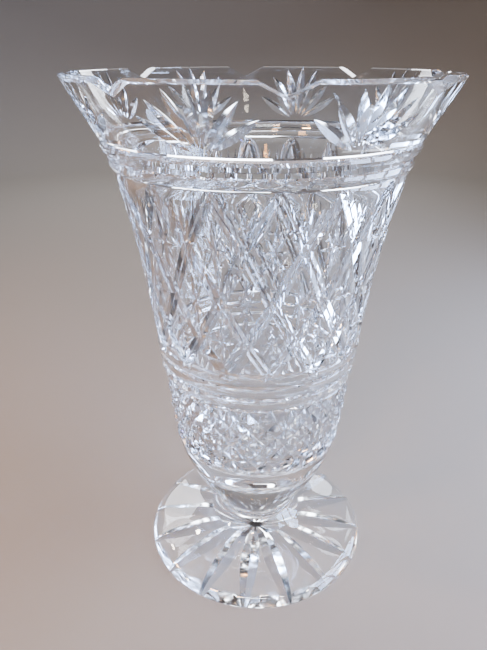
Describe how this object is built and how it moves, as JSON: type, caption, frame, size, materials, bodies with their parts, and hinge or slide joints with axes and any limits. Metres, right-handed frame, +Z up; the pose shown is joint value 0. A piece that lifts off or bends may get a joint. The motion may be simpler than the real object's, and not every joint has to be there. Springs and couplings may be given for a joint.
{
  "type": "cut crystal vase",
  "caption": "Tall footed flower vase of clear cut glass: flared bowl with a notched rim, a short stem and a round star-cut foot.",
  "frame": {"origin": "centre of the face that the vase stands on", "axes": "+Z up along the vase's axis of symmetry; -Y towards one notch of the rim"},
  "size_m": [0.1952, 0.1952, 0.3],
  "materials": {
    "bowl_crystal": "polished cut lead crystal",
    "stem_crystal": "fire-polished lead crystal",
    "foot_crystal": "fire-polished lead crystal, star cut underneath"
  },
  "bodies": {
    "root": {"bowl": "bowl_crystal", "stem": "stem_crystal", "foot": "foot_crystal"}
  },
  "joints": []
}
